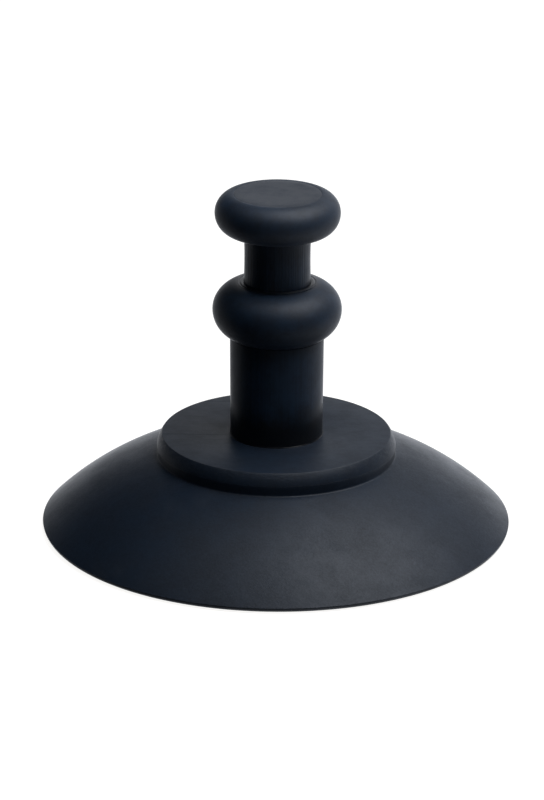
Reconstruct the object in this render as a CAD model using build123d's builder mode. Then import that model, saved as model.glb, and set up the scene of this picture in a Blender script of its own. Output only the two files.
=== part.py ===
from build123d import *
from math import atan2, degrees
import os

# Short-handled rubber sink plunger: a shallow bell, a pressure disc and a grip with two bulbs,
# all held together by one carriage bolt. Millimetres, +Z up. The origin is the centre of the
# circle that the rim stands on, and the bolt's axis is the Z axis.

# ---------------------------------------------------------------- driving dimensions
# Bell
rim_diameter = 125.0
rim_edge_height = 1.2            # height of the widest ring of the rounded lip
rim_foot_width = 1.4             # flat ring that seals against the basin
dome_height = 19.7               # where the skirt meets the crown
dome_radius = 75.0               # outer profile of the skirt
hollow_radius = 72.0             # inner profile of the skirt
crown_diameter = 63.8
crown_band = 2.75                # upright band of the bell under the disc
crown_thickness = 5.5
roof_diameter = 60.0             # flat roof inside the bell
crown_foot_round = 0.6

# Pressure disc
disc_thickness = 3.2
disc_top_diameter = 60.4
spigot_diameter = 30.0
spigot_depth = 1.8
disc_edge_round = 0.25

# Grip, from the disc upwards
stem_diameter = 24.5
stem_top_diameter = 24.9
stem_length = 27.65
stem_seat_depth = 1.2            # how far the stem stands in the disc
bead_diameter = 34.2
bead_height = 14.8
bead_equator = 7.2               # height of the widest ring above the bead's foot
bead_top_diameter = 19.2
bead_seat_depth = 1.0            # how far the neck stands in the bead
neck_diameter = 17.75
neck_waist_diameter = 17.4
neck_length = 13.6
head_diameter = 33.1
head_height = 10.6
head_equator = 5.45              # height of the widest ring above the head's foot
head_foot_diameter = 23.2
head_flat_diameter = 23.8

# Cap of the head, and the nut pocket under it
cap_diameter = 23.0
cap_thickness = 1.8
cap_skirt_depth = 2.0
cap_skirt_wall = 1.4
nut_pocket_diameter = 20.6
head_floor = 2.0

# Core tube
tube_diameter = 13.0
tube_bore_clearance = 0.6        # on the diameter, tube over the bolt

# Carriage bolt, M8 with a short square neck, and the metal pieces on it
bolt_diameter = 8.0
bolt_head_diameter = 20.0
bolt_head_height = 4.6
bolt_head_edge = 0.9
bolt_square_round = 1.0
bolt_square_length = 3.0
bolt_end_chamfer = 0.8
bolt_projection = 0.3            # bolt end above the nut
plate_diameter = 42.0
plate_thickness = 1.6
load_washer_diameter = 20.0
load_washer_thickness = 1.2
top_washer_diameter = 20.0
top_washer_thickness = 1.2
lock_washer_diameter = 15.0
lock_washer_thickness = 0.8
lock_washer_teeth = 10
lock_notch_width = 1.6
lock_notch_depth = 1.3
nut_across_flats = 13.0
nut_height = 4.0
nut_corner_chamfer = 0.6

# O-ring round the bolt, squeezed in its counterbore
seal_section = 2.0
seal_squeezed = 1.6
seal_corner_round = 0.7

# Clearances and broken edges
bolt_clearance = 0.4             # on the diameter, bolt in each plain hole
sleeve_clearance = 0.2           # on the diameter, grip pieces over the core tube
seat_clearance = 0.2             # on the diameter, each foot in its seat
thread_clearance = 0.04          # on the diameter, nut on the bolt
moulded_round = 0.3
pressed_round = 0.2

# ---------------------------------------------------------------- sizes that pieces share
bolt_hole = bolt_diameter + bolt_clearance
bolt_square = bolt_diameter      # across the flats of the neck
square_hole = bolt_square + bolt_clearance
tube_bore = bolt_diameter + tube_bore_clearance
sleeve_bore = tube_diameter + sleeve_clearance
seal_width = seal_section**2 / seal_squeezed
seal_seat = bolt_hole + 2 * seal_width + seat_clearance

# Heights of the stack
crown_top = dome_height + crown_band
crown_roof = crown_top - crown_thickness
plate_foot = crown_roof - plate_thickness
square_top = plate_foot + bolt_square_length
disc_foot = crown_top - spigot_depth
disc_top = crown_top + disc_thickness
stem_foot = disc_top - stem_seat_depth
load_washer_foot = stem_foot - load_washer_thickness
stem_top = disc_top + stem_length
bead_top = stem_top + bead_height
neck_foot = bead_top - bead_seat_depth
neck_top = bead_top + neck_length
floor_top = neck_top + head_floor
head_top = neck_top + head_height
cap_foot = head_top - cap_thickness
lock_washer_foot = floor_top + top_washer_thickness
nut_foot = lock_washer_foot + lock_washer_thickness
nut_top = nut_foot + nut_height
bolt_end = nut_top + bolt_projection

os.makedirs("parts", exist_ok=True)

# ---------------------------------------------------------------- cup
# Bell with a thin skirt, a full-round lip and a stiff crown that is recessed for the disc
with BuildPart() as cup:
    rim_r = rim_diameter / 2
    foot_r = rim_r - rim_edge_height
    hollow_r = foot_r - rim_foot_width
    with BuildSketch(Plane.XZ):
        with BuildLine():
            RadiusArc((crown_diameter / 2, dome_height), (rim_r, rim_edge_height), dome_radius)
            TangentArc((rim_r, rim_edge_height), (foot_r, 0), tangent=(0, -1))
            Line((foot_r, 0), (hollow_r, 0))
            RadiusArc((hollow_r, 0), (roof_diameter / 2, crown_roof), -hollow_radius)
            Polyline(
                (roof_diameter / 2, crown_roof),
                (0, crown_roof),
                (0, crown_top),
                (crown_diameter / 2, crown_top),
                (crown_diameter / 2, dome_height),
            )
        make_face()
    revolve(axis=Axis.Z)
    crown_foot = cup.edges().filter_by(GeomType.CIRCLE).sort_by(
        lambda edge: abs(edge.radius - crown_diameter / 2) + abs(edge.center().Z - dome_height)
    )[0]
    fillet(crown_foot, crown_foot_round)
    with BuildSketch(Plane.XY.offset(crown_top)):
        Circle((spigot_diameter + seat_clearance) / 2)
    extrude(amount=-spigot_depth, mode=Mode.SUBTRACT)
    with BuildSketch(Plane.XY.offset(crown_roof)):
        Circle(bolt_hole / 2)
    extrude(amount=crown_thickness, mode=Mode.SUBTRACT)
    with BuildSketch(Plane.XY.offset(crown_roof)):
        Rectangle(square_hole, square_hole)
    extrude(amount=square_top - crown_roof, mode=Mode.SUBTRACT)
cup.part.label = "cup"

# ---------------------------------------------------------------- clamp_plate
# Large washer under the crown, whose square hole stops the bolt from turning
with BuildPart() as clamp_plate:
    with BuildSketch(Plane.XY.offset(plate_foot)):
        Circle(plate_diameter / 2)
        Rectangle(square_hole, square_hole, mode=Mode.SUBTRACT)
    extrude(amount=plate_thickness)
    fillet(clamp_plate.edges().filter_by(GeomType.CIRCLE), pressed_round)
clamp_plate.part.label = "clamp_plate"

# ---------------------------------------------------------------- tie_bolt
# Carriage bolt with its domed head inside the bell
with BuildPart() as tie_bolt:
    head_r = bolt_head_diameter / 2
    with BuildSketch(Plane.XZ):
        with BuildLine():
            ThreePointArc(
                (-head_r, plate_foot - bolt_head_edge),
                (0, plate_foot - bolt_head_height),
                (head_r, plate_foot - bolt_head_edge),
            )
            Polyline(
                (head_r, plate_foot - bolt_head_edge),
                (head_r, plate_foot),
                (-head_r, plate_foot),
                (-head_r, plate_foot - bolt_head_edge),
            )
        make_face()
        with Locations((-head_r / 2, plate_foot - bolt_head_height / 2)):
            Rectangle(head_r, bolt_head_height, mode=Mode.SUBTRACT)
    revolve(axis=Axis.Z)
    with BuildSketch(Plane.XY.offset(plate_foot)):
        RectangleRounded(bolt_square, bolt_square, bolt_square_round)
    extrude(amount=bolt_square_length)
    with BuildSketch(Plane.XY.offset(square_top)):
        Circle(bolt_diameter / 2)
    extrude(amount=bolt_end - square_top)
    chamfer(tie_bolt.faces().sort_by(Axis.Z)[-1].edges(), bolt_end_chamfer)
tie_bolt.part.label = "tie_bolt"

# ---------------------------------------------------------------- seal_ring
# O-ring round the bolt, squeezed flat between the crown and the disc
with BuildPart() as seal_ring:
    with BuildSketch(Plane.XZ):
        with Locations(((bolt_hole + seal_width) / 2, disc_foot + seal_squeezed / 2)):
            RectangleRounded(seal_width, seal_squeezed, seal_corner_round)
    revolve(axis=Axis.Z)
seal_ring.part.label = "seal_ring"

# ---------------------------------------------------------------- pressure_disc
# Bevelled disc with a spigot below, and stepped seats above for the washer and the stem
with BuildPart() as pressure_disc:
    bevel = degrees(atan2((crown_diameter - disc_top_diameter) / 2, disc_thickness))
    with BuildSketch(Plane.XY.offset(crown_top)):
        Circle(crown_diameter / 2)
    extrude(amount=disc_thickness, taper=bevel)
    fillet(pressure_disc.edges().sort_by(Axis.Z)[-1], disc_edge_round)
    with BuildSketch(Plane.XY.offset(disc_foot)):
        Circle(spigot_diameter / 2)
    extrude(amount=spigot_depth)
    with BuildSketch(Plane.XY.offset(stem_foot)):
        Circle((stem_diameter + seat_clearance) / 2)
    extrude(amount=stem_seat_depth, mode=Mode.SUBTRACT)
    with BuildSketch(Plane.XY.offset(load_washer_foot)):
        Circle((load_washer_diameter + seat_clearance) / 2)
    extrude(amount=load_washer_thickness, mode=Mode.SUBTRACT)
    with BuildSketch(Plane.XY.offset(disc_foot)):
        Circle(seal_seat / 2)
    extrude(amount=seal_squeezed, mode=Mode.SUBTRACT)
    with BuildSketch(Plane.XY.offset(disc_foot)):
        Circle(bolt_hole / 2)
    extrude(amount=load_washer_foot - disc_foot, mode=Mode.SUBTRACT)
pressure_disc.part.label = "pressure_disc"

# ---------------------------------------------------------------- load_washer
# Steel washer that spreads the core tube's load over the disc
with BuildPart() as load_washer:
    with BuildSketch(Plane.XY.offset(load_washer_foot)):
        Circle(load_washer_diameter / 2)
        Circle(bolt_hole / 2, mode=Mode.SUBTRACT)
    extrude(amount=load_washer_thickness)
    fillet(load_washer.edges().filter_by(GeomType.CIRCLE), pressed_round)
load_washer.part.label = "load_washer"

# ---------------------------------------------------------------- core_tube
# Stiff tube under the grip, from the washer in the disc to the washer in the head
with BuildPart() as core_tube:
    with BuildSketch(Plane.XY.offset(stem_foot)):
        Circle(tube_diameter / 2)
        Circle(tube_bore / 2, mode=Mode.SUBTRACT)
    extrude(amount=floor_top - stem_foot)
    chamfer(core_tube.edges().filter_by(GeomType.CIRCLE), pressed_round)
core_tube.part.label = "core_tube"

# ---------------------------------------------------------------- stem_sleeve
# Straight lower part of the grip, seated in the disc
with BuildPart() as stem_sleeve:
    with BuildSketch(Plane.XZ):
        Polygon(
            (sleeve_bore / 2, stem_foot),
            (stem_diameter / 2, stem_foot),
            (stem_diameter / 2, disc_top),
            (stem_top_diameter / 2, stem_top),
            (sleeve_bore / 2, stem_top),
            align=None,
        )
    revolve(axis=Axis.Z)
stem_sleeve.part.label = "stem_sleeve"

# ---------------------------------------------------------------- bead_ring
# Lower bulb, with a seat on top for the neck
with BuildPart() as bead_ring:
    equator = (bead_diameter / 2, stem_top + bead_equator)
    with BuildSketch(Plane.XZ):
        with BuildLine():
            TangentArc(equator, (stem_top_diameter / 2, stem_top), tangent=(0, -1))
            TangentArc(equator, (bead_top_diameter / 2, bead_top), tangent=(0, 1))
            Polyline(
                (stem_top_diameter / 2, stem_top),
                (sleeve_bore / 2, stem_top),
                (sleeve_bore / 2, bead_top),
                (bead_top_diameter / 2, bead_top),
            )
        make_face()
    revolve(axis=Axis.Z)
    with BuildSketch(Plane.XY.offset(neck_foot)):
        Circle((neck_diameter + seat_clearance) / 2)
    extrude(amount=bead_seat_depth, mode=Mode.SUBTRACT)
bead_ring.part.label = "bead_ring"

# ---------------------------------------------------------------- neck_sleeve
# Slightly waisted sleeve between the bulbs
with BuildPart() as neck_sleeve:
    with BuildSketch(Plane.XZ):
        with BuildLine():
            ThreePointArc(
                (neck_diameter / 2, bead_top),
                (neck_waist_diameter / 2, (bead_top + neck_top) / 2),
                (neck_diameter / 2, neck_top),
            )
            Polyline(
                (neck_diameter / 2, neck_top),
                (sleeve_bore / 2, neck_top),
                (sleeve_bore / 2, neck_foot),
                (neck_diameter / 2, neck_foot),
                (neck_diameter / 2, bead_top),
            )
        make_face()
    revolve(axis=Axis.Z)
neck_sleeve.part.label = "neck_sleeve"

# ---------------------------------------------------------------- head_knob
# Upper bulb, hollowed from the top for the washers and the nut
with BuildPart() as head_knob:
    equator = (head_diameter / 2, neck_top + head_equator)
    with BuildSketch(Plane.XZ):
        with BuildLine():
            TangentArc(equator, (head_foot_diameter / 2, neck_top), tangent=(0, -1))
            TangentArc(equator, (head_flat_diameter / 2, head_top), tangent=(0, 1))
            Polyline(
                (head_foot_diameter / 2, neck_top),
                (sleeve_bore / 2, neck_top),
                (sleeve_bore / 2, head_top),
                (head_flat_diameter / 2, head_top),
            )
        make_face()
    revolve(axis=Axis.Z)
    with BuildSketch(Plane.XY.offset(floor_top)):
        Circle(nut_pocket_diameter / 2)
    extrude(amount=head_top - floor_top, mode=Mode.SUBTRACT)
    with BuildSketch(Plane.XY.offset(cap_foot)):
        Circle((cap_diameter + seat_clearance) / 2)
    extrude(amount=cap_thickness, mode=Mode.SUBTRACT)
head_knob.part.label = "head_knob"

# ---------------------------------------------------------------- top_washer
# Steel washer over the end of the core tube and the floor of the head
with BuildPart() as top_washer:
    with BuildSketch(Plane.XY.offset(floor_top)):
        Circle(top_washer_diameter / 2)
        Circle(bolt_hole / 2, mode=Mode.SUBTRACT)
    extrude(amount=top_washer_thickness)
    fillet(top_washer.edges().filter_by(GeomType.CIRCLE), pressed_round)
top_washer.part.label = "top_washer"

# ---------------------------------------------------------------- lock_washer
# Toothed washer under the nut
with BuildPart() as lock_washer:
    with BuildSketch(Plane.XY.offset(lock_washer_foot)):
        Circle(lock_washer_diameter / 2)
        Circle(bolt_hole / 2, mode=Mode.SUBTRACT)
        with PolarLocations(lock_washer_diameter / 2, lock_washer_teeth):
            Rectangle(2 * lock_notch_depth, lock_notch_width, mode=Mode.SUBTRACT)
    extrude(amount=lock_washer_thickness)
lock_washer.part.label = "lock_washer"

# ---------------------------------------------------------------- clamp_nut
# Thin hexagon nut with its corners chamfered at both ends
with BuildPart() as clamp_nut:
    with BuildSketch(Plane.XY.offset(nut_foot)):
        RegularPolygon(nut_across_flats / 2, 6, major_radius=False)
        Circle((bolt_diameter + thread_clearance) / 2, mode=Mode.SUBTRACT)
    extrude(amount=nut_height)
    corner_r = nut_across_flats / 2 + nut_corner_chamfer
    with BuildSketch(Plane.XZ):
        Polygon(
            (0, nut_foot),
            (corner_r - nut_corner_chamfer, nut_foot),
            (corner_r, nut_foot + nut_corner_chamfer),
            (corner_r, nut_top - nut_corner_chamfer),
            (corner_r - nut_corner_chamfer, nut_top),
            (0, nut_top),
            align=None,
        )
    revolve(axis=Axis.Z, mode=Mode.INTERSECT)
clamp_nut.part.label = "clamp_nut"

# ---------------------------------------------------------------- head_cap
# Flat plug with a short skirt that grips the nut pocket
with BuildPart() as head_cap:
    with BuildSketch(Plane.XY.offset(cap_foot)):
        Circle(cap_diameter / 2)
    extrude(amount=cap_thickness)
    fillet(head_cap.faces().sort_by(Axis.Z)[-1].edges(), moulded_round)
    cap_skirt_r = (nut_pocket_diameter - seat_clearance) / 2
    with BuildSketch(Plane.XY.offset(cap_foot)):
        Circle(cap_skirt_r)
        Circle(cap_skirt_r - cap_skirt_wall, mode=Mode.SUBTRACT)
    extrude(amount=-cap_skirt_depth)
head_cap.part.label = "head_cap"

# ---------------------------------------------------------------- one file for each piece
pieces = (
    cup,
    clamp_plate,
    tie_bolt,
    seal_ring,
    pressure_disc,
    load_washer,
    core_tube,
    stem_sleeve,
    bead_ring,
    neck_sleeve,
    head_knob,
    top_washer,
    lock_washer,
    clamp_nut,
    head_cap,
)
for piece in pieces:
    export_step(piece.part, f"parts/{piece.part.label}.step")
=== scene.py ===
from math import atan2, cos, hypot, pi, radians, sin, tan

import bpy
from mathutils import Euler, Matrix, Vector


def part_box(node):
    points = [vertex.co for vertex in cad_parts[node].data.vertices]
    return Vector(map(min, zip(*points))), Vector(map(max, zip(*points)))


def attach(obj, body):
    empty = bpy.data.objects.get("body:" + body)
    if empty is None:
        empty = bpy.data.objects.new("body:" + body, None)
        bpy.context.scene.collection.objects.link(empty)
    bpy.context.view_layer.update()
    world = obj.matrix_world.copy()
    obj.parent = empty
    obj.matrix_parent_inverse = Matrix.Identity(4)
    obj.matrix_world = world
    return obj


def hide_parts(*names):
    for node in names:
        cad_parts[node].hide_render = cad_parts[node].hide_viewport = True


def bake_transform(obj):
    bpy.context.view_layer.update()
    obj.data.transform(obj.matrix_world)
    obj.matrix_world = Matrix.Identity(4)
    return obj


# Short-handled rubber sink plunger: bell, bevelled disc and two-bulb grip on one carriage bolt.
# Metres, in the CAD model's frame: +Z up, the rim's circle at the origin.

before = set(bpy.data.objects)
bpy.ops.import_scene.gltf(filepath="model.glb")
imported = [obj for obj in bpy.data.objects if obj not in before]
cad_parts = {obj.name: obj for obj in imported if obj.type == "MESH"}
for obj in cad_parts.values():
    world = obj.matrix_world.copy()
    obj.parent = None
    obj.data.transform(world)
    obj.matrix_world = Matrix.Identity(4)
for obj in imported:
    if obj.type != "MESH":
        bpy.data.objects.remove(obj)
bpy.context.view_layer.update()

MM = 0.001

# How finely the pieces are cut
TURN_STEPS = 192
SKIRT_ARC = 40
BULB_ARC = 26
DOME_ARC = 20
NECK_ARC = 16
DISC_ARC = 14
LIP_ARC = 8
CORNER_ARC = 4
THREAD_STEPS = 32
NECK_CORNER_ARC = 5
SMOOTH_ANGLE = radians(32)

# How near two vertices are merged, how near an outline's end a vertex counts as that end, and
# how near a cut a vertex counts as on it
WELD = 0.002 * MM
AT_END = 0.001 * MM
ON_CUT = 0.0001 * MM

# Radii, and a thickness, that more than one piece is made to
BOLT_HOLE = 4.2 * MM
TUBE_BORE = 6.6 * MM
STEM_FOOT = 12.25 * MM
CAP_THICKNESS = 1.8 * MM

# White of the floor and of what lies behind the piece, and the tints of the lights
PAPER_WHITE = (1.0, 0.992, 0.975, 1)
SWEEP_TINT = (0.96, 0.99, 1.05, 1)
LAMP_TINT = (0.98, 1.0, 1.04)

# Rubber and steel, as linear colours
RUBBER_DARK = (0.0028, 0.0090, 0.0200, 1)
RUBBER_LIGHT = (0.0090, 0.0205, 0.0410, 1)
GRIP_DARK = (0.0012, 0.0085, 0.0225, 1)
GRIP_LIGHT = (0.0065, 0.0240, 0.0540, 1)
# Pale rubbed rubber, also used for the painted highlights on edges and on the cap's top
RUBBED_AND_SHEEN = (0.0300, 0.0380, 0.0520, 1)
DUST = (0.0900, 0.0930, 0.0980, 1)
# Near-black colour of the painted shade at the grips' feet and round the neck's collar
PAINTED_SHADE_COLOUR = (0.0004, 0.0010, 0.0022, 1)
SEAL_DARK = (0.006, 0.006, 0.007, 1)
SEAL_LIGHT = (0.014, 0.014, 0.015, 1)
SEAL_RUBBED = (0.05, 0.05, 0.05, 1)
STEEL_DARK = (0.42, 0.43, 0.43, 1)
STEEL_LIGHT = (0.58, 0.59, 0.58, 1)
STEEL_STAIN = (0.33, 0.31, 0.27, 1)


# ------------------------------------------------------------------ hand tools
def fresh():
    """Object mode with nothing selected."""
    if bpy.context.mode != "OBJECT":
        bpy.ops.object.mode_set(mode="OBJECT")
    bpy.ops.object.select_all(action="DESELECT")


def arc(centre, radius, start, end, steps, height=None):
    """Points (radius, height) on a circle, or on an ellipse where height is given. Degrees."""
    tall = radius if height is None else height
    points = []
    for step in range(steps + 1):
        turn = radians(start + (end - start) * step / steps)
        points.append((centre[0] + radius * cos(turn), centre[1] + tall * sin(turn)))
    return points


def bow(start, end, radius, steps):
    """Points on the arc of that radius from start to end, bulging to the left of the way."""
    along = Vector(end) - Vector(start)
    middle = (Vector(start) + Vector(end)) / 2
    side = Vector((-along.y, along.x)).normalized()
    drop = (radius**2 - (along.length / 2) ** 2) ** 0.5
    centre = middle - side * drop
    first = Vector(start) - centre
    half = atan2(along.length / 2, drop)
    points = []
    for step in range(steps + 1):
        turn = -2 * half * step / steps
        x = first.x * cos(turn) - first.y * sin(turn)
        y = first.x * sin(turn) + first.y * cos(turn)
        points.append((centre.x + x, centre.y + y))
    return points


def eased(corner, before, after, radius):
    """The corner between two legs, broken by a small round of that radius."""
    corner, before, after = Vector(corner), Vector(before), Vector(after)
    leg_in = (before - corner).normalized()
    leg_out = (after - corner).normalized()
    half = leg_in.angle(leg_out) / 2
    reach = radius / tan(half)
    centre = corner + (leg_in + leg_out).normalized() * radius / sin(half)
    first = corner + leg_in * reach - centre
    last = corner + leg_out * reach - centre
    swing = atan2(first.x * last.y - first.y * last.x, first.dot(last))
    points = []
    for step in range(CORNER_ARC + 1):
        turn = swing * step / CORNER_ARC
        x = first.x * cos(turn) - first.y * sin(turn)
        y = first.x * sin(turn) + first.y * cos(turn)
        points.append((centre.x + x, centre.y + y))
    return points


def outline(*stretches):
    """Joins corners (radius, height, round) and lists of points into one run of points."""
    flat = []
    for stretch in stretches:
        flat += stretch if isinstance(stretch, list) else [stretch]
    points = []
    for place, point in enumerate(flat):
        before = flat[place - 1]
        after = flat[(place + 1) % len(flat)]
        if len(point) == 3 and point[2] > 0:
            points += eased(point[:2], before[:2], after[:2], point[2])
        else:
            points.append(tuple(point[:2]))
    return points


def turned(name, points, closed=True):
    """A half section drawn with one vertex beside the Z axis, then spun once round it."""
    fresh()
    first = points[0]
    bpy.ops.mesh.primitive_plane_add(size=MM, location=(first[0], 0, first[1]))
    piece = bpy.context.active_object
    piece.name = name
    piece.data.name = name
    bpy.ops.object.transform_apply(location=True, rotation=True, scale=True)
    bpy.ops.object.mode_set(mode="EDIT")
    bpy.ops.mesh.select_mode(type="VERT")
    bpy.ops.mesh.select_all(action="SELECT")
    bpy.ops.mesh.merge(type="CENTER")
    for here, there in zip(points, points[1:]):
        step = (there[0] - here[0], 0, there[1] - here[1])
        bpy.ops.mesh.extrude_region_move(TRANSFORM_OT_translate={"value": step})
    if closed:
        close_outline(piece, points)
    bpy.ops.mesh.select_all(action="SELECT")
    bpy.ops.mesh.spin(steps=TURN_STEPS, angle=2 * pi, center=(0, 0, 0), axis=(0, 0, 1))
    bpy.ops.mesh.select_all(action="SELECT")
    bpy.ops.mesh.remove_doubles(threshold=WELD)
    bpy.ops.mesh.normals_make_consistent(inside=False)
    bpy.ops.object.mode_set(mode="OBJECT")
    bpy.ops.object.shade_smooth_by_angle(angle=SMOOTH_ANGLE)
    return piece


def close_outline(piece, points):
    """Joins the outline's last vertex to its first with an edge."""
    bpy.ops.mesh.select_all(action="DESELECT")
    bpy.ops.object.mode_set(mode="OBJECT")
    for vertex in piece.data.vertices:
        for end in (points[0], points[-1]):
            near = hypot(vertex.co.x - end[0], vertex.co.z - end[1]) < AT_END
            vertex.select = vertex.select or near
    bpy.ops.object.mode_set(mode="EDIT")
    bpy.ops.mesh.edge_face_add()


# ------------------------------------------------------------------ node tools
def feed(tree, socket, source):
    """Links an output to a socket, or sets the socket to a plain value."""
    if isinstance(source, bpy.types.NodeSocket):
        tree.links.new(source, socket)
    else:
        socket.default_value = source


def maths(tree, operation, *sources):
    step = tree.nodes.new("ShaderNodeMath")
    step.operation = operation
    for socket, source in zip(step.inputs, sources):
        feed(tree, socket, source)
    return step.outputs["Value"]


def vector_maths(tree, operation, first, second):
    step = tree.nodes.new("ShaderNodeVectorMath")
    step.operation = operation
    feed(tree, step.inputs[0], first)
    feed(tree, step.inputs[1], second)
    return step.outputs["Vector"]


def fade(tree, value, near, far, start=0.0, end=1.0):
    """Goes smoothly from start, where value is near, to end, where it is far."""
    step = tree.nodes.new("ShaderNodeMapRange")
    step.interpolation_type = "SMOOTHSTEP"
    feed(tree, step.inputs["Value"], value)
    feed(tree, step.inputs["From Min"], near)
    feed(tree, step.inputs["From Max"], far)
    feed(tree, step.inputs["To Min"], start)
    feed(tree, step.inputs["To Max"], end)
    return step.outputs["Result"]


def noise(tree, place, scale, detail, roughness):
    texture = tree.nodes.new("ShaderNodeTexNoise")
    feed(tree, texture.inputs["Vector"], place)
    feed(tree, texture.inputs["Scale"], scale)
    feed(tree, texture.inputs["Detail"], detail)
    feed(tree, texture.inputs["Roughness"], roughness)
    return texture.outputs["Fac"]


def mixed(tree, mask, first, second):
    """The first colour where mask is 0, the second where it is 1."""
    mix = tree.nodes.new("ShaderNodeMix")
    mix.data_type = "RGBA"
    sockets = [socket for socket in mix.inputs if socket.type == "RGBA"]
    feed(tree, mix.inputs["Factor"], mask)
    feed(tree, sockets[0], first)
    feed(tree, sockets[1], second)
    return next(socket for socket in mix.outputs if socket.type == "RGBA")


def around_axis(tree, place):
    """Distance from the Z axis, and height."""
    parts = tree.nodes.new("ShaderNodeSeparateXYZ")
    feed(tree, parts.inputs["Vector"], place)
    x, y, z = parts.outputs
    squares = maths(tree, "MULTIPLY_ADD", x, x, maths(tree, "MULTIPLY", y, y))
    return maths(tree, "SQRT", squares), z


def effect(name, inputs, outputs):
    """A new shader node group; returns its tree, its given values and its result sockets."""
    tree = bpy.data.node_groups.new(name, "ShaderNodeTree")
    kinds = {"vector": "NodeSocketVector", "value": "NodeSocketFloat"}
    for label, (kind, value) in inputs.items():
        socket = tree.interface.new_socket(label, in_out="INPUT", socket_type=kinds[kind])
        if value is not None:
            socket.default_value = value
    for label in outputs:
        tree.interface.new_socket(label, in_out="OUTPUT", socket_type="NodeSocketFloat")
    given = tree.nodes.new("NodeGroupInput")
    result = tree.nodes.new("NodeGroupOutput")
    return tree, given.outputs, result.inputs


def use(tree, group, **values):
    """Places a group in a material with its own values; returns its outputs."""
    placed = tree.nodes.new("ShaderNodeGroup")
    placed.node_tree = group
    placed.name = group.name
    for label, source in values.items():
        feed(tree, placed.inputs[label.replace("_", " ")], source)
    return placed.outputs


# ------------------------------------------------------------------ stage
def glow(tree, direction, name, aim, spread, strength):
    """One soft patch of studio light, round aim, that fades out over spread degrees."""
    towards = tree.nodes.new("ShaderNodeVectorMath")
    towards.operation = "DOT_PRODUCT"
    towards.name = name
    towards.inputs[1].default_value = Vector(aim).normalized()
    feed(tree, towards.inputs[0], direction)
    return fade(tree, towards.outputs["Value"], cos(radians(spread)), 1.0, end=strength)


def light_the_studio():
    """Dark studio with a pale sweep behind and below, white where the camera looks past the piece."""
    world = bpy.data.worlds.new("studio")
    bpy.context.scene.world = world
    world.use_nodes = True
    tree = world.node_tree
    around = tree.nodes["Background"]
    around.inputs["Color"].default_value = SWEEP_TINT
    coordinates = tree.nodes.new("ShaderNodeTexCoord")
    direction = coordinates.outputs["Generated"]
    patches = [
        glow(tree, direction, "sweep_behind", aim=(0.06, 0.95, -0.25), spread=42, strength=1.14),
        glow(tree, direction, "sweep_behind_right", aim=(0.75, 0.60, -0.10), spread=40, strength=0.32),
        glow(tree, direction, "sweep_behind_left", aim=(-0.68, 0.72, -0.38), spread=39, strength=0.36),
        glow(tree, direction, "sweep_below", aim=(0.35, 0.22, -0.88), spread=75, strength=0.67),
        glow(tree, direction, "backdrop", aim=(0.38, 0.82, 0.38), spread=42, strength=0.37),
        glow(tree, direction, "front_fill", aim=(0.15, -0.95, -0.15), spread=55, strength=0.05),
    ]
    total = patches[0]
    for patch in patches[1:]:
        total = maths(tree, "ADD", total, patch)
    feed(tree, around.inputs["Strength"], total)
    seen = tree.nodes.new("ShaderNodeBackground")
    seen.inputs["Color"].default_value = PAPER_WHITE
    path = tree.nodes.new("ShaderNodeLightPath")
    mix = tree.nodes.new("ShaderNodeMixShader")
    feed(tree, mix.inputs["Fac"], path.outputs["Is Camera Ray"])
    feed(tree, mix.inputs[1], around.outputs["Background"])
    feed(tree, mix.inputs[2], seen.outputs["Background"])
    feed(tree, tree.nodes["World Output"].inputs["Surface"], mix.outputs["Shader"])


def soft_box(name, place, size, radiance):
    """A flat soft light that faces the piece, as bright as radiance says."""
    lamp = bpy.data.lights.new(name, "AREA")
    lamp.shape = "RECTANGLE"
    lamp.size, lamp.size_y = size
    lamp.energy = radiance * pi * size[0] * size[1]
    lamp.color = LAMP_TINT
    holder = bpy.data.objects.new(name, lamp)
    bpy.context.scene.collection.objects.link(holder)
    holder.location = place
    holder.rotation_euler = (-Vector(place)).to_track_quat("-Z", "Y").to_euler()


def lay_floor():
    """Pale floor for the camera alone: the studio's sweep below gives the light that a floor
    would return. It can be looked through from underneath."""
    fresh()
    width = 8
    gap = 0.2 * MM
    bpy.ops.mesh.primitive_plane_add(size=width, location=(0, 0, -gap))
    floor = bpy.context.active_object
    floor.name = "floor"
    material = bpy.data.materials.new("pale_floor")
    material.use_nodes = True
    shader = material.node_tree.nodes["Principled BSDF"]
    shader.inputs["Base Color"].default_value = (0.35, 0.35, 0.35, 1)
    shader.inputs["Roughness"].default_value = 1.0
    shader.inputs["Specular IOR Level"].default_value = 0.0
    shader.inputs["Emission Color"].default_value = PAPER_WHITE
    shader.inputs["Emission Strength"].default_value = 0.92
    tree = material.node_tree
    facing = tree.nodes.new("ShaderNodeNewGeometry")
    clear = tree.nodes.new("ShaderNodeBsdfTransparent")
    mix = tree.nodes.new("ShaderNodeMixShader")
    feed(tree, mix.inputs["Fac"], facing.outputs["Backfacing"])
    feed(tree, mix.inputs[1], shader.outputs["BSDF"])
    feed(tree, mix.inputs[2], clear.outputs["BSDF"])
    feed(tree, tree.nodes["Material Output"].inputs["Surface"], mix.outputs["Shader"])
    floor.data.materials.append(material)
    floor.visible_glossy = False
    floor.visible_diffuse = False
    floor.visible_shadow = False


def place_camera():
    """Looks down on the plunger's middle from the front."""
    elevation = radians(20.54)
    distance = 1.1157
    aim_height = 34.7 * MM
    side = -1.21 * MM
    tilt = radians(0.33)
    lens = bpy.data.cameras.new("camera")
    lens.sensor_width = 36
    lens.lens = 188.8
    lens.clip_start = 0.01
    camera = bpy.data.objects.new("camera", lens)
    bpy.context.scene.collection.objects.link(camera)
    camera.location = (side, -distance * cos(elevation), aim_height + distance * sin(elevation))
    look = Euler((pi / 2 - elevation, 0, 0)).to_matrix()
    camera.rotation_euler = (look @ Euler((0, 0, tilt)).to_matrix()).to_euler()
    bpy.context.scene.camera = camera


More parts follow.
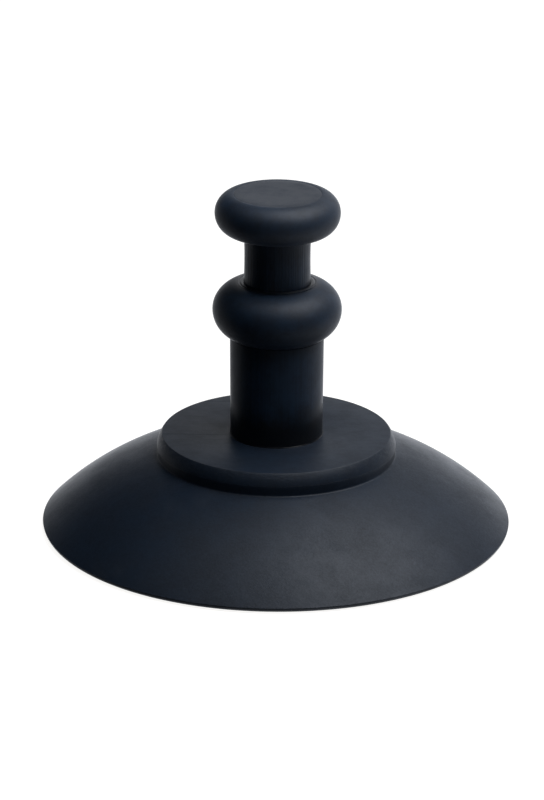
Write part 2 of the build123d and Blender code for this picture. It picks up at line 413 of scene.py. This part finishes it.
# ------------------------------------------------------------------ pieces
def model_cup():
    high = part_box("cup")[1]
    disc_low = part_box("pressure_disc")[0]
    plate_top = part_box("clamp_plate")[1].z
    rim = high.x
    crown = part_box("pressure_disc")[1].x
    crown_foot = high.z - 2.75 * MM
    upright = 0.8 * MM
    lean = 0.25 * MM
    outer_bow = 75 * MM
    inner_bow = 72 * MM
    lip = 1.35 * MM
    foot_width = 1.4 * MM
    foot_edge = rim - lip - foot_width
    roof = 30.0 * MM
    recess = 15.1 * MM
    recess_floor = disc_low.z
    neck_pocket = 5.9 * MM
    pocket_top = plate_top + 1.4 * MM
    skirt = bow((crown - lean, crown_foot), (rim, lip), outer_bow, SKIRT_ARC)
    rounding = arc((rim - lip, lip), lip, 0, -90, LIP_ARC)
    hollow = bow((roof, plate_top), (foot_edge, 0), inner_bow, SKIRT_ARC)[::-1]
    points = outline(
        (crown, high.z, 0.06 * MM),
        (crown, high.z - upright),
        (crown - lean, crown_foot, 0.5 * MM),
        skirt[1:],
        rounding[1:],
        (foot_edge, 0, 0.3 * MM),
        hollow[1:-1],
        (roof, plate_top, 1.2 * MM),
        (neck_pocket, plate_top),
        (neck_pocket, pocket_top),
        (BOLT_HOLE, pocket_top),
        (BOLT_HOLE, recess_floor),
        (recess, recess_floor),
        (recess, high.z, 0.2 * MM),
    )
    cup = turned("bell_cup", points)
    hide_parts("cup")
    return cup


def model_disc():
    low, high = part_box("pressure_disc")
    stem_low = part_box("stem_sleeve")[0].z
    washer_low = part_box("load_washer")[0].z
    crown_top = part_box("cup")[1].z
    seat = STEM_FOOT + 0.1 * MM
    nick = 0.06 * MM
    side_bow = 8 * MM
    washer_seat = 10.1 * MM
    spigot = 15.0 * MM
    ring_seat = 6.8 * MM
    ring_top = low.z + 1.6 * MM
    top = 30.45 * MM
    side = bow((top, high.z), (high.x, crown_top), side_bow, DISC_ARC)[::-1]
    points = outline(
        (high.x - nick, crown_top),
        (high.x, crown_top + nick),
        side[1:-1],
        (top, high.z, 0.16 * MM),
        (seat, high.z, 0.1 * MM),
        (seat, stem_low),
        (washer_seat, stem_low),
        (washer_seat, washer_low),
        (BOLT_HOLE, washer_low),
        (BOLT_HOLE, ring_top),
        (ring_seat, ring_top),
        (ring_seat, low.z),
        (spigot, low.z, 0.2 * MM),
        (spigot, crown_top),
    )
    disc = turned("bevelled_disc", points)
    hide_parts("pressure_disc")
    return disc


def model_stem():
    low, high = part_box("stem_sleeve")
    disc_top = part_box("pressure_disc")[1].z
    flare = 0.26 * MM
    flare_foot = disc_top + 0.01 * MM
    points = outline(
        (TUBE_BORE, low.z, 0.2 * MM),
        (STEM_FOOT, low.z, 0.2 * MM),
        (STEM_FOOT, flare_foot),
        (STEM_FOOT + flare, flare_foot, 0.03 * MM),
        (STEM_FOOT + 0.08 * MM, disc_top + 0.25 * MM, 0.2 * MM),
        (STEM_FOOT + 0.03 * MM, disc_top + 0.9 * MM, 0.3 * MM),
        (high.x, high.z, 0.3 * MM),
        (TUBE_BORE, high.z, 0.2 * MM),
    )
    stem = turned("grip_stem", points)
    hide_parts("stem_sleeve")
    return stem


def model_bead():
    low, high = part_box("bead_ring")
    neck_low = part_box("neck_sleeve")[0].z
    seat = 8.90 * MM
    lip = 9.60 * MM
    foot = 12.3 * MM
    equator = low.z + 7.2 * MM
    swell = 8.1 * MM
    belly = 7.97 * MM
    shoulder = 7.45 * MM
    middle = high.x - swell
    below = arc((middle, equator), swell, -65, 0, BULB_ARC, belly)
    above = arc((middle, equator), swell, 0, 82, BULB_ARC, shoulder)
    valley = above[-1]
    points = outline(
        (TUBE_BORE, low.z, 0.2 * MM),
        (foot, low.z, 0.15 * MM),
        below,
        above[1:],
        (lip + 0.45 * MM, valley[1] - 0.04 * MM, 0.5 * MM),
        (lip, high.z - 0.03 * MM, 0.3 * MM),
        (seat, high.z, 0.05 * MM),
        (seat, neck_low),
        (TUBE_BORE, neck_low),
    )
    bead = turned("lower_bulb", points)
    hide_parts("bead_ring")
    return bead


def model_neck():
    low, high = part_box("neck_sleeve")
    bead_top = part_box("bead_ring")[1].z
    waist = 8.7 * MM
    rise = (high.z - bead_top) / 2
    inset = high.x - waist
    radius = (rise**2 + inset**2) / (2 * inset)
    side = bow((high.x, bead_top), (high.x, high.z), radius, NECK_ARC)
    points = outline(
        (TUBE_BORE, low.z, 0.2 * MM),
        (high.x, low.z, 0.2 * MM),
        side,
        (TUBE_BORE, high.z, 0.2 * MM),
    )
    neck = turned("grip_neck", points)
    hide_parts("neck_sleeve")
    return neck


def model_head():
    low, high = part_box("head_knob")
    cap_low = high.z - CAP_THICKNESS
    floor_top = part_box("top_washer")[0].z
    cap_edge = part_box("head_cap")[1].x
    pocket = 10.3 * MM
    cap_seat = cap_edge + 0.02 * MM
    equator = low.z + 5.45 * MM
    swell = 4.91 * MM
    middle = high.x - swell
    below = arc((middle, equator), swell, -90, 0, BULB_ARC, equator - low.z)
    above = arc((middle, equator), swell, 0, 86, BULB_ARC, high.z - equator)
    points = outline(
        (TUBE_BORE, low.z, 0.2 * MM),
        below,
        above[1:],
        (cap_seat, high.z - 0.02 * MM, 0.03 * MM),
        (cap_seat, cap_low),
        (pocket, cap_low),
        (pocket, floor_top),
        (TUBE_BORE, floor_top, 0.2 * MM),
    )
    head = turned("upper_bulb", points)
    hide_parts("head_knob")
    return head


def model_cap():
    low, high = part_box("head_cap")
    plate_low = high.z - CAP_THICKNESS
    skirt_outer = 10.2 * MM
    skirt_inner = 8.8 * MM
    points = outline(
        (0, high.z - 0.08 * MM),
        (0.6 * high.x, high.z - 0.05 * MM),
        (0.85 * high.x, high.z),
        (high.x, high.z - 0.02 * MM, 0.03 * MM),
        (high.x, plate_low),
        (skirt_outer, plate_low),
        (skirt_outer, low.z, 0.3 * MM),
        (skirt_inner, low.z, 0.3 * MM),
        (skirt_inner, plate_low),
        (0, plate_low),
    )
    cap = turned("flat_cap", points, closed=False)
    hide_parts("head_cap")
    return cap


def model_plate():
    """Stamped washer: rolled edge, shallow ring pressed into its lower face."""
    low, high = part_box("clamp_plate")
    points = outline(
        (BOLT_HOLE, high.z, 0.15 * MM),
        (BOLT_HOLE, low.z, 0.15 * MM),
        (0.62 * high.x, low.z, 0.2 * MM),
        (0.66 * high.x, low.z + 0.25 * MM, 0.3 * MM),
        (0.80 * high.x, low.z + 0.25 * MM, 0.3 * MM),
        (0.84 * high.x, low.z, 0.2 * MM),
        (high.x, low.z, 0.5 * MM),
        (high.x, high.z, 0.3 * MM),
    )
    plate = turned("stamped_plate", points)
    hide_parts("clamp_plate")
    return plate


def model_bolt():
    """Carriage bolt: domed head, square neck, plain shank and a rolled thread."""
    low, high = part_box("tie_bolt")
    plate_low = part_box("clamp_plate")[0].z
    head = high.x
    head_edge = plate_low - 0.9 * MM
    rise = head_edge - low.z
    dome_radius = (head**2 + rise**2) / (2 * rise)
    dome = bow((head, head_edge), (-head, head_edge), dome_radius, 2 * DOME_ARC)[: DOME_ARC + 1]
    shank = 4.0 * MM
    undercut = 0.6 * MM
    square_top = plate_low + 3.0 * MM
    thread_foot = 62.0 * MM
    shank_points = outline(
        (0, low.z),
        dome[::-1][1:],
        (head, plate_low, 0.12 * MM),
        (shank, plate_low),
        (shank, thread_foot - undercut, 0.3 * MM),
        (shank - undercut, thread_foot, 0.3 * MM),
        (shank - undercut, high.z),
        (0, high.z),
    )
    bolt = turned("carriage_bolt", shank_points, closed=False)
    square_foot = plate_low - 0.1 * MM
    thread_end = high.z - 0.05 * MM
    neck = square_neck(shank, square_foot, square_top)
    thread = rolled_thread(shank, thread_foot, thread_end)
    fresh()
    for part in (neck, thread, bolt):
        part.select_set(True)
    bpy.context.view_layer.objects.active = bolt
    bpy.ops.object.join()
    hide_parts("tie_bolt")
    return bolt


def square_neck(half, low, high):
    """A square bar with its four upright edges rounded."""
    fresh()
    rounding = 1 * MM
    size = (2 * half, 2 * half, high - low)
    bpy.ops.mesh.primitive_cube_add(size=1, location=(0, 0, (low + high) / 2), scale=size)
    neck = bpy.context.active_object
    neck.name = "square_neck"
    bpy.ops.object.transform_apply(location=True, rotation=True, scale=True)
    for edge in neck.data.edges:
        first, second = (neck.data.vertices[place].co for place in edge.vertices)
        edge.select = abs(first.z - second.z) > rounding
    bpy.ops.object.mode_set(mode="EDIT")
    bpy.ops.mesh.select_mode(type="EDGE")
    bpy.ops.mesh.bevel(offset=rounding, segments=NECK_CORNER_ARC)
    bpy.ops.object.mode_set(mode="OBJECT")
    bpy.ops.object.shade_smooth_by_angle(angle=SMOOTH_ANGLE)
    return neck


def rolled_thread(crest, low, high):
    """One turn's profile, wound up the bolt by a Screw modifier and cut flat at both ends."""
    pitch = 1.25 * MM
    root = crest - 0.72 * MM
    # The first turn starts low enough for the lower cut to miss the profile's corners
    lead_in = 1.014 * pitch
    spare_turns = 3
    turns = round((high - low) / pitch) + spare_turns
    # Radius, and height as a share of the pitch
    profile = [(root, 0.1), (crest, 0.44), (crest, 0.56), (root, 0.9), (root, 1.0)]
    fresh()
    bpy.ops.mesh.primitive_plane_add(size=MM, location=(root, 0, low - lead_in))
    thread = bpy.context.active_object
    thread.name = "rolled_thread"
    bpy.ops.object.transform_apply(location=True, rotation=True, scale=True)
    bpy.ops.object.mode_set(mode="EDIT")
    bpy.ops.mesh.select_mode(type="VERT")
    bpy.ops.mesh.select_all(action="SELECT")
    bpy.ops.mesh.merge(type="CENTER")
    here = (root, 0.0)
    for there in profile:
        step = (there[0] - here[0], 0, (there[1] - here[1]) * pitch)
        bpy.ops.mesh.extrude_region_move(TRANSFORM_OT_translate={"value": step})
        here = there
    bpy.ops.object.mode_set(mode="OBJECT")
    winding = thread.modifiers.new("winding", "SCREW")
    winding.screw_offset = pitch
    winding.iterations = turns
    winding.steps = THREAD_STEPS
    winding.render_steps = THREAD_STEPS
    bpy.ops.object.modifier_apply(modifier="winding")
    bpy.ops.object.mode_set(mode="EDIT")
    bpy.ops.mesh.select_all(action="SELECT")
    bpy.ops.mesh.remove_doubles(threshold=WELD)
    for height, outwards in ((low, -1), (high, 1)):
        bpy.ops.mesh.select_all(action="SELECT")
        bpy.ops.mesh.bisect(
            plane_co=(0, 0, height),
            plane_no=(0, 0, outwards),
            use_fill=True,
            clear_outer=True,
            threshold=ON_CUT,
        )
    bpy.ops.mesh.select_all(action="SELECT")
    bpy.ops.mesh.normals_make_consistent(inside=False)
    bpy.ops.object.mode_set(mode="OBJECT")
    bpy.ops.object.shade_smooth_by_angle(angle=SMOOTH_ANGLE)
    return thread


# ------------------------------------------------------------------ shared effects
def make_moulded_skin():
    """Fine grain of a moulded rubber skin, and the larger cloudy patches that handling leaves."""
    tree, given, result = effect(
        "moulded_skin",
        {"Place": ("vector", None), "Grain Size": ("value", 0.5 * MM), "Patch Size": ("value", 12 * MM)},
        ["Grain", "Patches", "Height"],
    )
    fine_scale = maths(tree, "DIVIDE", 1.0, given["Grain Size"])
    patch_scale = maths(tree, "DIVIDE", 1.0, given["Patch Size"])
    grain = noise(tree, given["Place"], fine_scale, 2.0, 0.6)
    pebbles = noise(tree, given["Place"], maths(tree, "MULTIPLY", fine_scale, 0.31), 2.0, 0.5)
    clouds = noise(tree, given["Place"], patch_scale, 6.0, 0.72)
    feed(tree, result["Grain"], fade(tree, grain, 0.25, 0.75))
    feed(tree, result["Patches"], fade(tree, clouds, 0.33, 0.67))
    feed(tree, result["Height"], maths(tree, "MULTIPLY_ADD", pebbles, 1.2, grain))
    return tree


def make_edge_wear_and_sheen():
    """Where a round edge at that radius and height is rubbed, broken up by noise; on the bell's lip and the
    disc's top edge the paler ring is also a painted highlight.
    """
    tree, given, result = effect(
        "edge_wear_and_sheen",
        {
            "Place": ("vector", None),
            "Radius": ("value", 30 * MM),
            "Height": ("value", 0.0),
            "Width": ("value", 0.5 * MM),
            "Breakup Size": ("value", 3 * MM),
        },
        ["Wear"],
    )
    radius, height = around_axis(tree, given["Place"])
    across = maths(tree, "SUBTRACT", radius, given["Radius"])
    up = maths(tree, "SUBTRACT", height, given["Height"])
    squares = maths(tree, "MULTIPLY_ADD", across, across, maths(tree, "MULTIPLY", up, up))
    near = fade(tree, maths(tree, "SQRT", squares), given["Width"], 0.0)
    breakup = noise(tree, given["Place"], maths(tree, "DIVIDE", 1.0, given["Breakup Size"]), 4.0, 0.65)
    feed(tree, result["Wear"], maths(tree, "MULTIPLY", near, fade(tree, breakup, 0.25, 0.62)))
    return tree


def make_drawn_lines():
    """Fine lines drawn out along the axes that Stretch scales least, and the few strong ones."""
    tree, given, result = effect(
        "drawn_lines",
        {"Place": ("vector", None), "Stretch": ("vector", (1000.0, 1000.0, 20.0))},
        ["Lines", "Marks"],
    )
    drawn = vector_maths(tree, "MULTIPLY", given["Place"], given["Stretch"])
    lines = noise(tree, drawn, 1.0, 3.0, 0.55)
    moved = vector_maths(tree, "ADD", drawn, (7.3, 2.9, 5.1))
    strong = noise(tree, moved, 0.37, 2.0, 0.5)
    feed(tree, result["Lines"], lines)
    feed(tree, result["Marks"], fade(tree, strong, 0.56, 0.72))
    return tree


def make_scuffs():
    """Short smears and rubs in random places, wider than they are high."""
    tree, given, result = effect(
        "scuffs",
        {"Place": ("vector", None), "Size": ("value", 2 * MM), "Cover": ("value", 0.5)},
        ["Scuffs"],
    )
    scale = maths(tree, "DIVIDE", 1.0, given["Size"])
    where = noise(tree, given["Place"], maths(tree, "MULTIPLY", scale, 0.3), 2.0, 0.5)
    rubs = noise(tree, vector_maths(tree, "MULTIPLY", given["Place"], (1.0, 1.0, 1.8)), scale, 5.0, 0.7)
    bare = maths(tree, "SUBTRACT", 1.0, given["Cover"])
    area = fade(tree, where, maths(tree, "SUBTRACT", bare, 0.12), maths(tree, "ADD", bare, 0.12))
    feed(tree, result["Scuffs"], maths(tree, "MULTIPLY", area, fade(tree, rubs, 0.42, 0.66)))
    return tree


def make_dust():
    """Sparse pale specks that settle on faces looking up."""
    tree, given, result = effect(
        "dust",
        {"Place": ("vector", None), "Spacing": ("value", 4 * MM), "Speck Size": ("value", 0.1)},
        ["Specks"],
    )
    cells = tree.nodes.new("ShaderNodeTexVoronoi")
    feed(tree, cells.inputs["Vector"], given["Place"])
    feed(tree, cells.inputs["Scale"], maths(tree, "DIVIDE", 1.0, given["Spacing"]))
    speck = fade(tree, cells.outputs["Distance"], given["Speck Size"], 0.0)
    facing = tree.nodes.new("ShaderNodeNewGeometry")
    parts = tree.nodes.new("ShaderNodeSeparateXYZ")
    feed(tree, parts.inputs["Vector"], facing.outputs["Normal"])
    upward = fade(tree, parts.outputs["Z"], 0.1, 0.8)
    pick = tree.nodes.new("ShaderNodeSeparateColor")
    feed(tree, pick.inputs["Color"], cells.outputs["Color"])
    chosen = fade(tree, pick.outputs["Red"], 0.55, 0.75)
    feed(tree, result["Specks"], maths(tree, "MULTIPLY", maths(tree, "MULTIPLY", speck, upward), chosen))
    return tree


def make_turned_finish():
    """Rings that a cutting tool leaves on turned or stamped steel, and dull stains."""
    tree, given, result = effect(
        "turned_finish",
        {"Place": ("vector", None), "Line Spacing": ("value", 0.15 * MM), "Stain Size": ("value", 3 * MM)},
        ["Rings", "Stains"],
    )
    radius, height = around_axis(tree, given["Place"])
    flat = tree.nodes.new("ShaderNodeCombineXYZ")
    feed(tree, flat.inputs["X"], radius)
    feed(tree, flat.inputs["Y"], height)
    rings = noise(tree, flat.outputs["Vector"], maths(tree, "DIVIDE", 1.0, given["Line Spacing"]), 2.0, 0.6)
    stains = noise(tree, given["Place"], maths(tree, "DIVIDE", 1.0, given["Stain Size"]), 5.0, 0.62)
    feed(tree, result["Rings"], rings)
    feed(tree, result["Stains"], fade(tree, stains, 0.45, 0.68))
    return tree


# ------------------------------------------------------------------ finishes
def begin(name, specular=0.5, metallic=0.0, coat=0.0):
    """A new material: its node tree, its shader and the surface's own coordinates."""
    material = bpy.data.materials.new(name)
    material.use_nodes = True
    tree = material.node_tree
    shader = tree.nodes["Principled BSDF"]
    shader.inputs["Specular IOR Level"].default_value = specular
    shader.inputs["Metallic"].default_value = metallic
    shader.inputs["Coat Weight"].default_value = coat
    # Bloom on the skin: hardly there face on, pale at a grazing angle
    shader.inputs["Coat Roughness"].default_value = 0.15
    shader.inputs["Coat IOR"].default_value = 1.05
    coordinates = tree.nodes.new("ShaderNodeTexCoord")
    return material, tree, shader, coordinates.outputs["Object"]


def raise_surface(tree, shader, height, depth):
    """Bump of that depth in metres."""
    bump = tree.nodes.new("ShaderNodeBump")
    bump.inputs["Strength"].default_value = 1.0
    bump.inputs["Distance"].default_value = depth
    feed(tree, bump.inputs["Height"], height)
    feed(tree, shader.inputs["Normal"], bump.outputs["Normal"])


def dark_and_light(tree, skin, dark, light):
    """Base colour that drifts with the patches and the grain in equal parts."""
    drift = maths(tree, "MULTIPLY_ADD", skin["Grain"], 0.5, maths(tree, "MULTIPLY", skin["Patches"], 0.5))
    return mixed(tree, drift, dark, light)


def cup_finish(shared):
    material, tree, shader, place = begin("bell_rubber", specular=0.47, coat=0.38)
    skin = use(tree, shared["skin"], Place=place, Grain_Size=0.55 * MM, Patch_Size=14 * MM)
    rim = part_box("cup")[1].x
    lip = use(
        tree, shared["wear_and_sheen"], Place=place, Radius=rim - 0.2 * MM, Height=0.7 * MM,
        Width=0.9 * MM, Breakup_Size=4 * MM,
    )["Wear"]
    smears = use(tree, shared["scuffs"], Place=place, Size=5 * MM, Cover=0.45)["Scuffs"]
    specks = use(tree, shared["dust"], Place=place, Spacing=5 * MM, Speck_Size=0.035)["Specks"]
    colour = dark_and_light(tree, skin, RUBBER_DARK, RUBBER_LIGHT)
    # The lip's paler ring: partly wear, partly a painted highlight along the rim
    colour = mixed(tree, maths(tree, "MULTIPLY", lip, 0.5), colour, RUBBED_AND_SHEEN)
    colour = mixed(tree, maths(tree, "MULTIPLY", smears, 0.12), colour, RUBBED_AND_SHEEN)
    colour = mixed(tree, maths(tree, "MULTIPLY", specks, 0.35), colour, DUST)
    feed(tree, shader.inputs["Base Color"], colour)
    rough = maths(tree, "MULTIPLY_ADD", skin["Patches"], -0.08, 0.575)
    rough = maths(tree, "MULTIPLY_ADD", skin["Grain"], -0.07, rough)
    rough = maths(tree, "MULTIPLY_ADD", smears, 0.06, rough)
    feed(tree, shader.inputs["Roughness"], rough)
    raise_surface(tree, shader, skin["Height"], 0.022 * MM)
    return material


def disc_finish(shared):
    material, tree, shader, place = begin("disc_rubber_finish", coat=0.2)
    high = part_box("pressure_disc")[1]
    skin = use(tree, shared["skin"], Place=place, Grain_Size=0.45 * MM, Patch_Size=7 * MM)
    radius, height = around_axis(tree, place)
    top_edge = 30.4 * MM
    side = fade(tree, radius, top_edge - 0.05 * MM, top_edge + 0.2 * MM)
    top = maths(tree, "SUBTRACT", 1.0, side)
    drawn = use(tree, shared["lines"], Place=place, Stretch=(45.0, 1500.0, 100.0))
    scuffs = use(tree, shared["scuffs"], Place=place, Size=1.6 * MM, Cover=0.62)["Scuffs"]
    edge = use(
        tree, shared["wear_and_sheen"], Place=place, Radius=top_edge, Height=high.z,
        Width=0.4 * MM, Breakup_Size=5 * MM,
    )["Wear"]
    upper = fade(tree, height, high.z - 3.0 * MM, high.z - 1.2 * MM)
    side_scuffs = maths(tree, "MULTIPLY", maths(tree, "MULTIPLY", scuffs, side), upper)
    across = tree.nodes.new("ShaderNodeSeparateXYZ")
    feed(tree, across.inputs["Vector"], place)
    left = fade(tree, across.outputs["X"], -9 * MM, -16 * MM, 0.15, 1.0)
    drawn_top = maths(tree, "MULTIPLY", top, left)
    top_lines = maths(tree, "MULTIPLY", drawn["Marks"], drawn_top)
    specks = use(tree, shared["dust"], Place=place, Spacing=4 * MM, Speck_Size=0.04)["Specks"]
    colour = dark_and_light(tree, skin, RUBBER_DARK, RUBBER_LIGHT)
    colour = mixed(tree, maths(tree, "MULTIPLY", side_scuffs, 0.35), colour, RUBBED_AND_SHEEN)
    # The paler ring along the top edge: partly wear, partly a painted highlight on the edge
    colour = mixed(tree, maths(tree, "MULTIPLY", edge, 0.6), colour, RUBBED_AND_SHEEN)
    colour = mixed(tree, maths(tree, "MULTIPLY", specks, 0.3), colour, DUST)
    feed(tree, shader.inputs["Base Color"], colour)
    rough = maths(tree, "MULTIPLY_ADD", skin["Patches"], -0.06, 0.57)
    rough = maths(tree, "MULTIPLY_ADD", top_lines, 0.10, rough)
    rough = maths(tree, "MULTIPLY_ADD", side_scuffs, -0.08, rough)
    feed(tree, shader.inputs["Roughness"], rough)
    ridges = maths(tree, "MULTIPLY", maths(tree, "MULTIPLY", drawn["Lines"], drawn_top), 0.8)
    dents = maths(tree, "MULTIPLY_ADD", side_scuffs, -1.2, ridges)
    raise_surface(tree, shader, maths(tree, "ADD", skin["Height"], dents), 0.018 * MM)
    return material


def painted_shade_at_foot(top):
    """Painted shade on an upright side, darkest at its foot and thinning out up to that height."""
    depth = 9 * MM
    raggedness = 2 * MM

    def mask(tree, place, patches):
        level = around_axis(tree, place)[1]
        ragged = maths(tree, "MULTIPLY_ADD", patches, raggedness, level)
        return fade(tree, ragged, top, top - depth)

    return mask


def painted_shade_at_collar(collar, top):
    """Painted shade on an upper face, darkest beside the collar that stands on it and thinning out away
    from it.
    """
    thick = collar + 0.8 * MM
    clean = collar + 4.2 * MM
    raggedness = 1 * MM

    def mask(tree, place, patches):
        radius, level = around_axis(tree, place)
        ragged = maths(tree, "MULTIPLY_ADD", patches, raggedness, radius)
        upper = fade(tree, level, top - 4 * MM, top - 2 * MM)
        return maths(tree, "MULTIPLY", fade(tree, ragged, clean, thick), upper)

    return mask


def grip_finish(
    shared, name, lines, streaks, roughness, specular=0.55, rubbed_edge=None, painted_highlight=0.0, shade_painter=None
):
    """Handled rubber, with drawn lines up and down it in its surface (lines) and in its colour
    (streaks), a patchy painted highlight, one rubbed edge, and painted shade where the mask says."""
    material, tree, shader, place = begin(name, specular, coat=0.2)
    skin = use(tree, shared["skin"], Place=place, Grain_Size=0.4 * MM, Patch_Size=6 * MM)
    drawn = use(tree, shared["lines"], Place=place, Stretch=(2100.0, 2100.0, 25.0))
    specks = use(tree, shared["dust"], Place=place, Spacing=3 * MM, Speck_Size=0.04)["Specks"]
    drift = maths(tree, "MULTIPLY_ADD", skin["Grain"], 0.3, maths(tree, "MULTIPLY", skin["Patches"], 0.7))
    drift = maths(tree, "MULTIPLY", drift, 1 - 0.5 * streaks)
    drift = maths(tree, "MULTIPLY_ADD", fade(tree, drawn["Lines"], 0.3, 0.7), 0.8 * streaks, drift)
    colour = mixed(tree, drift, GRIP_DARK, GRIP_LIGHT)
    # Painted highlight: the colour is paled in patches, so the part looks brighter than its rubber
    if painted_highlight:
        highlight_amount = maths(tree, "MULTIPLY", fade(tree, skin["Patches"], -0.6, 1.0), painted_highlight)
        colour = mixed(tree, highlight_amount, colour, RUBBED_AND_SHEEN)
    if rubbed_edge:
        edge_radius, edge_height, width = rubbed_edge
        rubbed = use(
            tree, shared["wear_and_sheen"], Place=place, Radius=edge_radius, Height=edge_height,
            Width=width, Breakup_Size=3 * MM,
        )["Wear"]
        colour = mixed(tree, maths(tree, "MULTIPLY", rubbed, 0.5), colour, RUBBED_AND_SHEEN)
    colour = mixed(tree, maths(tree, "MULTIPLY", specks, 0.3), colour, DUST)
    rough = maths(tree, "MULTIPLY_ADD", skin["Patches"], -0.05, roughness + 0.025)
    rough = maths(tree, "MULTIPLY_ADD", skin["Grain"], 0.03, rough)
    # Painted shade: the colour darkens to near-black where the mask is high, at a foot or round a collar
    if shade_painter:
        shade_amount = shade_painter(tree, place, skin["Patches"])
        colour = mixed(tree, maths(tree, "MULTIPLY", shade_amount, 0.94), colour, PAINTED_SHADE_COLOUR)
        rough = maths(tree, "MULTIPLY_ADD", shade_amount, -0.2, rough)
    feed(tree, shader.inputs["Base Color"], colour)
    feed(tree, shader.inputs["Roughness"], rough)
    height = maths(tree, "MULTIPLY_ADD", drawn["Lines"], lines, skin["Height"])
    raise_surface(tree, shader, height, 0.012 * MM)
    return material


def seal_finish(shared):
    material, tree, shader, place = begin("seal_rubber_finish")
    skin = use(tree, shared["skin"], Place=place, Grain_Size=0.3 * MM, Patch_Size=4 * MM)
    scuffs = use(tree, shared["scuffs"], Place=place, Size=1 * MM, Cover=0.5)["Scuffs"]
    colour = dark_and_light(tree, skin, SEAL_DARK, SEAL_LIGHT)
    colour = mixed(tree, maths(tree, "MULTIPLY", scuffs, 0.3), colour, SEAL_RUBBED)
    feed(tree, shader.inputs["Base Color"], colour)
    feed(tree, shader.inputs["Roughness"], maths(tree, "MULTIPLY_ADD", skin["Patches"], 0.12, 0.32))
    raise_surface(tree, shader, skin["Height"], 0.01 * MM)
    return material


def steel_finish(shared):
    """Bright zinc plate over steel, with tool rings, dull stains and scuffs."""
    material, tree, shader, place = begin("plated_steel_finish", metallic=1.0)
    turned_lines = use(
        tree, shared["turned"], Place=place, Line_Spacing=0.15 * MM, Stain_Size=3 * MM,
    )
    scuffs = use(tree, shared["scuffs"], Place=place, Size=1.2 * MM, Cover=0.5)["Scuffs"]
    colour = mixed(tree, turned_lines["Rings"], STEEL_DARK, STEEL_LIGHT)
    stained = maths(tree, "MULTIPLY", turned_lines["Stains"], 0.35)
    colour = mixed(tree, stained, colour, STEEL_STAIN)
    feed(tree, shader.inputs["Base Color"], colour)
    rough = maths(tree, "MULTIPLY_ADD", turned_lines["Stains"], 0.20, 0.27)
    rough = maths(tree, "MULTIPLY_ADD", scuffs, 0.14, rough)
    feed(tree, shader.inputs["Roughness"], rough)
    height = maths(tree, "MULTIPLY_ADD", scuffs, -0.25, turned_lines["Rings"])
    raise_surface(tree, shader, height, 0.004 * MM)
    return material


# ------------------------------------------------------------------ assembly
bpy.context.scene.view_settings.view_transform = "Standard"
light_the_studio()
lay_floor()
place_camera()
soft_box("key", place=(0.58, -0.07, 1.15), size=(1.3, 1.1), radiance=2.75)
soft_box("overhead", place=(-0.18, -0.26, 1.15), size=(1.1, 1.0), radiance=0.43)

shared = {
    "skin": make_moulded_skin(),
    "wear_and_sheen": make_edge_wear_and_sheen(),
    "lines": make_drawn_lines(),
    "scuffs": make_scuffs(),
    "dust": make_dust(),
    "turned": make_turned_finish(),
}
cup = model_cup()
disc = model_disc()
stem = model_stem()
bead = model_bead()
neck = model_neck()
head = model_head()
cap = model_cap()
plate = model_plate()
bolt = model_bolt()

cup.data.materials.append(cup_finish(shared))
disc.data.materials.append(disc_finish(shared))
bead_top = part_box("bead_ring")[1].z
cap_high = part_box("head_cap")[1]
# Painted shade goes on the stem's foot, on the lower bulb round the neck's collar and on the neck's foot
stem_finish = grip_finish(
    shared, "stem_rubber", lines=1.5, streaks=0.6, roughness=0.50, specular=0.5,
    shade_painter=painted_shade_at_foot(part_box("pressure_disc")[1].z + 14 * MM),
)
bead_finish = grip_finish(
    shared, "lower_bulb_rubber", lines=0.4, streaks=0.1, roughness=0.53, specular=0.60,
    shade_painter=painted_shade_at_collar(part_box("neck_sleeve")[1].x, bead_top),
)
neck_finish = grip_finish(
    shared, "neck_rubber", lines=7.0, streaks=1.0, roughness=0.50,
    shade_painter=painted_shade_at_foot(bead_top + 6 * MM),
)
head_finish = grip_finish(
    shared, "upper_bulb_rubber", lines=0.6, streaks=0.2, roughness=0.56, specular=0.76,
)
# The cap gets the painted highlight, which pales the head's flat top where the backdrop's reflection is
# bright
cap_finish = grip_finish(
    shared, "cap_rubber_finish", lines=0.0, streaks=0.0, roughness=0.58, specular=0.92,
    rubbed_edge=(cap_high.x, cap_high.z, 0.5 * MM), painted_highlight=0.9,
)
stem.data.materials.append(stem_finish)
bead.data.materials.append(bead_finish)
neck.data.materials.append(neck_finish)
head.data.materials.append(head_finish)
cap.data.materials.append(cap_finish)

steel = steel_finish(shared)
seal = seal_finish(shared)
plate.data.materials.append(steel)
bolt.data.materials.append(steel)
carried_over = {
    "load_washer": steel,
    "core_tube": steel,
    "top_washer": steel,
    "lock_washer": steel,
    "clamp_nut": steel,
    "seal_ring": seal,
}
for name, finish in carried_over.items():
    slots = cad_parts[name].data.materials
    slots.clear()
    slots.append(finish)

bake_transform(cup)
for piece in (disc, stem, bead, neck, head, cap, plate, bolt):
    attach(piece, "handle")
